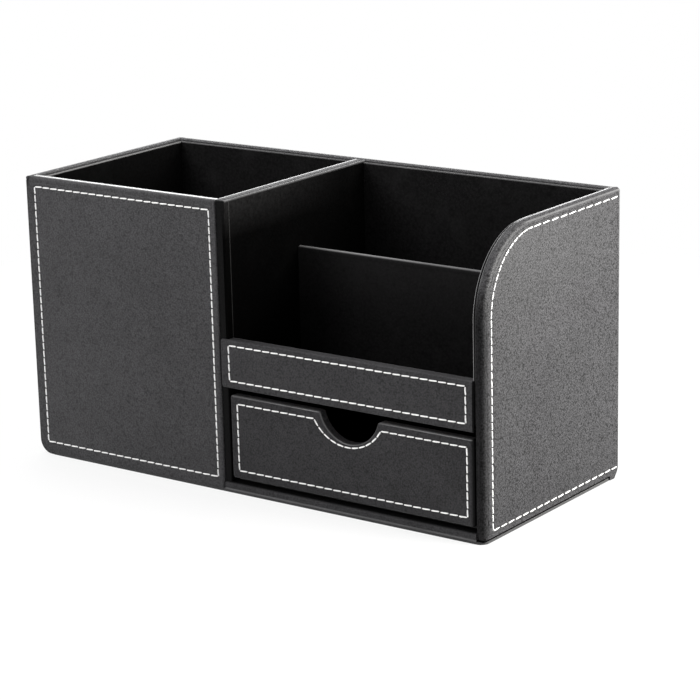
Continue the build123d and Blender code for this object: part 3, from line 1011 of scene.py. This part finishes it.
drawerFront = {
    "x": (-8.6, 107.7),
    "y": (-49.4, -45.6),
    "z": (6.4, 41.0),
    "corner": 1.2,
    "fold": 0.65,
    "notchMiddle": (49.75, 44.0),
    "notchRadius": 14.2,
    "notchSteps": 16,
    "lip": 1.0,
    "seam": 3.4,
    "seamReach": 0.8,  # half the channel's width and a little more
    "curveMiddle": (48.9, 46.74),  # of the seam below the notch
    "curveRadius": 18.34,
    "boardY": (-48.6, -45.6),
    "liningY": (-45.6, -44.4),
    "innerInset": 0.8,  # of the board and the lining
    "innerFold": 0.3,
    "wearAndHighlightNotch": (-49.2, 0.5),  # place and reach of the painted highlight and wear round the notch
    "finish": {"tone": 0.70, "gloss": 0.4, "shaded": (("x", 105.7, 107.0),), "shadow": 0.1, "contrast": 0.6,
               "folds": (("y", -49.0, "z", 41.0, 0.8), ("y", -49.2, "z", 6.4, 0.5))},
}


def startPoint(name, x, y, z):  # a plane merged to one point, ready to be pulled along an outline
    clearSelection()
    bpy.ops.mesh.primitive_plane_add(size=millimetre, location=Vector((x, y, z)) * millimetre)
    piece = openPiece(name)
    bpy.ops.mesh.select_mode(type="VERT")
    selectAll()
    bpy.ops.mesh.merge(type="CENTER")
    return piece


def halfWidth(middle, radius, height):  # of a circle, at one height
    return math.sqrt(radius ** 2 - (middle[1] - height) ** 2)


def notchedPlate(name, inset, ys):
    look = drawerFront
    (left, right), (low, top) = ((look[axis][0] + inset, look[axis][1] - inset) for axis in "xz")
    middle = look["notchMiddle"]
    half = halfWidth(middle, look["notchRadius"] + inset, top)
    turn = 2 * math.atan2(half, middle[1] - top)
    piece = startPoint(name, left, ys[0], top)
    pullOut(x=middle[0] - half - left)
    bpy.ops.mesh.spin(steps=look["notchSteps"], angle=turn, axis=(0, 1, 0),
                      center=Vector((middle[0], ys[0], middle[1])) * millimetre)
    pick("verts", at(x=middle[0] + half, z=top))
    pullOut(x=right - middle[0] - half)
    pullOut(z=low - top)
    pullOut(x=left - right)
    selectAll()
    bpy.ops.mesh.edge_face_add()
    pullOut(y=ys[1] - ys[0])
    selectAll()
    bpy.ops.mesh.normals_make_consistent(inside=False)
    return piece, [middle[0] + side * half for side in (-1, 1)]


def notchDistance(point):
    middle = drawerFront["notchMiddle"]
    return math.hypot(point.x - middle[0], point.z - middle[1]) - drawerFront["notchRadius"]


def alongOutline(step):  # points on the front at one distance from the outline, round the notch too
    (left, right), front, (low, top) = drawerFront["x"], drawerFront["y"][0], drawerFront["z"]

    def near(point):
        away = min(point.x - left, right - point.x, point.z - low, top - point.z, notchDistance(point))
        return abs(point.y - front) < atReach and abs(away - step) < looseReach
    return everyPoint(near)


def makeDrawerFront():
    look = drawerFront
    front, (low, top), seam = look["y"][0], look["z"], look["seam"]
    piece, lips = notchedPlate("drawerFrontLeather", 0.0, look["y"])
    pick("faces", at(y=front))
    for width in (seam - channelHalf, channelHalf, channelHalf):
        ring(width)
    pressPoints(channelDepth, alongOutline(seam))
    # the seam's channel comes closer to the notch than to the straight edges
    line, middle, curve = top - seam, look["notchMiddle"], look["curveMiddle"]
    pick("verts", everyPoint(lambda point: point.y < front + channelDepth + atReach
                             and point.z < line + look["seamReach"]
                             and abs(notchDistance(point) - seam) < look["seamReach"]))
    radius = look["notchRadius"] + seam
    wider = halfWidth(curve, look["curveRadius"], line) / halfWidth(middle, radius, line)
    deeper = (line - curve[1] + look["curveRadius"]) / (line - middle[1] + radius)
    bpy.ops.transform.resize(value=(wider, 1, deeper),
                             center_override=Vector((middle[0], front, line)) * millimetre)
    slide(x=curve[0] - middle[0])
    foldEdges(look["lip"], *(at(x=x, z=top) for x in lips))
    foldEdges(look["corner"], *(at(x=x, z=z) for x in look["x"] for z in (low, top)))
    foldEdges(look["fold"], at(y=front), steps=3, sharp=True)
    rim = notchRim(middle, look["notchRadius"], *look["wearAndHighlightNotch"])
    finish = leather("drawerFrontLeather", rim=rim, **look["finish"])
    finishPiece(piece, "drawer", "drawer_front_cover", finish)


makeDrawerFront()


# Sewing: one stitch, repeated along each stretch of a seam

stitch = {
    "width": 0.63,
    "sideWidth": 0.50,
    "height": 0.60,
    "gapShare": 0.125,  # of the step from one stitch to the next
    "wideGap": 0.24,
    "sunk": 0.10,  # how far its middle lies below the leather's face
    "slant": 3.0,
    "dip": 0.12,  # how far its ends are drawn into the leather
    # where each ring lies as a share of the length, how much wider it gets, how far it moves out
    "ends": (((0.2, 0.3), 1.12, 0.10), ((0.4, 0.47), 1.6, 0.035)),
    "smoothAngle": 80,
    "foldGap": 0.1,  # from a seam's last stitch to the fold
}
pitch = {"across": 4.15, "up": 3.3, "deep": 6.4, "low": 5.1, "curve": 3.6}
flatPitch = (pitch["across"], pitch["up"])
rightward, leftward, backward, frontward = (1, 0, 0), (-1, 0, 0), (0, 1, 0), (0, -1, 0)


def oneStitch(length, width):
    clearSelection()
    bpy.ops.mesh.primitive_uv_sphere_add(segments=8, ring_count=6, radius=0.5)
    piece = bpy.context.object
    piece.rotation_euler = (0, math.pi / 2, 0)
    applyPlace()
    piece.scale = (length, width, stitch["height"])
    applyPlace()
    enterEdit()
    # blunt ends that dip into the leather
    bpy.ops.mesh.select_mode(type="VERT")
    for side in (-1, 1):
        for (start, end), wider, further in stitch["ends"]:
            shape = openShape()
            choosePoints(shape.verts, lambda point: length * start < side * point.co.x < length * end)
            bpy.ops.transform.resize(value=(1, wider, wider))
            bpy.ops.transform.translate(value=(side * length * further, 0, -stitch["dip"] * end))
    return piece


def placeStitch(piece, spot, along, outward, slant=0.0):
    choose(piece)
    turned = Matrix((along, outward.cross(along), outward)).transposed().to_4x4()
    piece.matrix_world = Matrix.Scale(millimetre, 4) @ Matrix.Translation(spot - outward * stitch["sunk"]) @ \
        turned @ Matrix.Rotation(math.radians(slant), 4, "Z")
    applyPlace()


def sewLine(start, end, spacing, outward, width=stitch["width"], gap=stitch["gapShare"]):
    start, end, outward = Vector(start), Vector(end), Vector(outward)
    along = (end - start).normalized()
    count = round((end - start).length / spacing)
    step = (end - start).length / count
    piece = oneStitch(step * (1 - gap), width)
    placeStitch(piece, start + along * step / 2, along, outward, stitch["slant"])
    applyModifier(piece, "ARRAY", count=count, use_relative_offset=False, use_constant_offset=True,
                  constant_offset_displace=along * step * millimetre)
    clearSelection()
    return piece


def sewPath(places, spacings, outward):  # two spacings take turns
    return [sewLine(places[number], places[number + 1], spacings[number % 2], outward)
            for number in range(len(places) - 1)]


def sewCurve(start, middle, turn, axis, outward, width=stitch["width"]):
    start, middle, axis, outward = Vector(start), Vector(middle), Vector(axis), Vector(outward)
    radius = (start - middle).length
    count = round(radius * abs(turn) / pitch["curve"])
    step = turn / count
    first = Matrix.Rotation(step / 2, 4, axis) @ (start - middle)
    along = axis.cross(first).normalized() * math.copysign(1, turn)
    piece = oneStitch(radius * abs(step) * (1 - stitch["gapShare"]), width)
    placeStitch(piece, middle + first, along, outward)
    enterEdit()
    selectAll()
    bpy.ops.mesh.spin(steps=count - 1, angle=-step * (count - 1), dupli=True, axis=axis,
                      center=middle * millimetre)
    clearSelection()
    return piece


def joinSeam(name, runs, body, replaced):
    clearSelection()
    for run in runs:
        run.select_set(True)
    bpy.context.view_layer.objects.active = runs[0]
    bpy.ops.object.join()
    runs[0].name = name
    finishPiece(runs[0], body, replaced, whiteThread, stitch["smoothAngle"])


def sewPanel(name, look, replaced):
    (left, right), front, (low, top) = look["seamX"], look["y"][0], look["seamZ"]
    corners = ((left, low), (right, low), (right, top), (left, top), (left, low))
    joinSeam(name, sewPath([(x, front, z) for x, z in corners], flatPitch, frontward), "case", replaced)


def sewDrawer():
    look = drawerFront
    inset, middle, front = look["seam"], look["curveMiddle"], look["y"][0]
    (left, right), (low, top) = ((look[axis][0] + inset, look[axis][1] - inset) for axis in "xz")
    half = halfWidth(middle, look["curveRadius"], top)
    first, last = middle[0] + half, middle[0] - half
    corners = ((first, top), (right, top), (right, low), (left, low), (left, top), (last, top))
    runs = sewPath([(x, front, z) for x, z in corners], flatPitch, frontward)
    turn = -2 * math.atan2(half, middle[1] - top)
    runs.append(sewCurve((last, front, top), (middle[0], front, middle[1]), turn, backward, frontward))
    joinSeam("drawerStitching", runs, "drawer", "drawer_stitching")


def sewWrap():
    (left, right), back = wrap["x"], wrap["y"][1]
    front, low, top, (curveY, curveZ) = (sideSeam[place] for place in ("front", "low", "top", "curveMiddle"))
    end, thin, wide = back - wrap["backFold"] - stitch["foldGap"], stitch["sideWidth"], stitch["wideGap"]
    runs = [
        sewLine((right, end, top), (right, curveY, top), pitch["deep"], rightward, thin, wide),
        sewCurve((right, curveY, top), (right, curveY, curveZ), math.pi / 2, rightward, rightward, thin),
        sewLine((right, front, curveZ), (right, front, low), pitch["up"], rightward, thin),
        sewLine((right, front, low), (right, end, low), pitch["low"], rightward, thin, wide),
    ]
    front, low, top = (leftSeam[place] for place in ("front", "low", "top"))
    corners = ((end, top), (front, top), (front, low), (end, low))
    runs += sewPath([(left, y, z) for y, z in corners], (pitch["deep"], pitch["up"]), leftward)
    first, last = backSeam["sides"]
    for start, z in ((first, backSeam["top"]), (left + wrap["lowLeft"], backSeam["low"])):
        runs.append(sewLine((start, back, z), (last, back, z), pitch["across"], backward))
    joinSeam("wrapStitching", runs, "case", "outer_wrap_stitching")


whiteThread = thread("whiteThread")
sewPanel("penFrontStitching", penFront, "pen_front_stitching")
sewPanel("bandStitching", band, "band_stitching")
sewDrawer()
sewWrap()


# Board and lining of the drawer's front, the back board and the sole

# The folds and rims of the linings are painted highlight lines
linings = {
    "darkLiningAndGapShade": {"tone": 0.5, "folds": (("z", 119.2, "x", -107.5, 0.7),)},
    "backLining": {"tone": 2.4, "folds": (("z", 119.2, "y", 45.0, 0.6),)},
    # The divider's lining: its low tone is painted shade, and it is painted lighter towards the top front as
    # painted light
    "dividerLining": {"tone": 0.25, "folds": (("x", -8.4, "y", -46.2, 0.22),), "wearAndHighlightShare": 0.12,
                      "paintedLightRamps": (("z", 104.0, 119.5), ("y", 30.0, -30.0))},
    "sideLining": {"tone": 1.2, "rim": sideRim(107.5, 33.2, 0.32), "wearAndHighlightShare": 1.5},
}
finishes = {name: lining(name, **look) for name, look in linings.items()}
for name, look in (("pressedBoard", boardLook), ("coveredBoard", coveredLook)):
    finishes[name] = board(name, look)


def backDrawerFront(name, slot, replaced, finish):
    ys, inset = drawerFront[slot + "Y"], drawerFront["innerInset"]
    piece, _ = notchedPlate(name, inset, ys)
    foldEdges(drawerFront["innerFold"], at(y=ys[1], z=drawerFront["z"][1] - inset), steps=2)
    finishPiece(piece, "drawer", replaced, finishes[finish])


backDrawerFront("drawerFrontBoard", "board", "drawer_front_board", "pressedBoard")
backDrawerFront("drawerFrontLining", "lining", "drawer_front_lining", "darkLiningAndGapShade")

backBoard = {"x": (-111.7, 111.7), "y": (46.2, 49.2), "z": (1.0, 119.2), "lowLeft": 5.2}


def makeBackBoard():  # with a round low left edge, and its low back edge cut off inside the leather's round
    piece = startBlock("backBoard", backBoard)
    foldEdges(backBoard["lowLeft"], at(x=backBoard["x"][0], z=backBoard["z"][0]), steps=8)
    place = (0, backBoard["y"][1], wrap["z"][0] + wrap["lowBack"])
    cutOff(place, (0, 1, -1), clear_outer=True, use_fill=True)
    finishPiece(piece, "case", "back_board", finishes["pressedBoard"])


makeBackBoard()

sole = {"x": (-105.4, 111.9), "y": (-49.8, 42.95), "z": (0.0, 0.95), "corner": 3.6, "fold": 0.15}


def makeSole():
    piece = startBlock("feltSole", sole)
    foldEdges(sole["corner"], at(x=sole["x"][1], y=sole["y"][0]), steps=6)
    foldEdges(sole["fold"], at(z=sole["z"][1]), steps=2, sharp=True)
    finishPiece(piece, "case", "base_sole", felt("soleFelt"))


makeSole()


# Carried-over nodes: their own finish on the CAD's shapes

nodeFinish = {
    "tray_left_lining": "dividerLining",
    "tray_right_lining": "sideLining",
    "tray_back_lining": "backLining",
    "pen_back_lining": "backLining",
    "base_board": "darkLiningAndGapShade",  # these two boards take the near-black lining colour as painted shade in the gap above the sole
    "right_board": "darkLiningAndGapShade",
    "drawer_floor": "coveredBoard",
    "drawer_left_wall": "coveredBoard",
    "drawer_right_wall": "coveredBoard",
    "drawer_back_wall": "coveredBoard",
}
for nodeName, node in nodes.items():
    usual = "darkLiningAndGapShade" if nodeName.endswith(("_lining", "_liner")) else "pressedBoard"
    node.data.materials.clear()
    node.data.materials.append(finishes[nodeFinish.get(nodeName, usual)])
print("finishes given to the carried-over nodes")
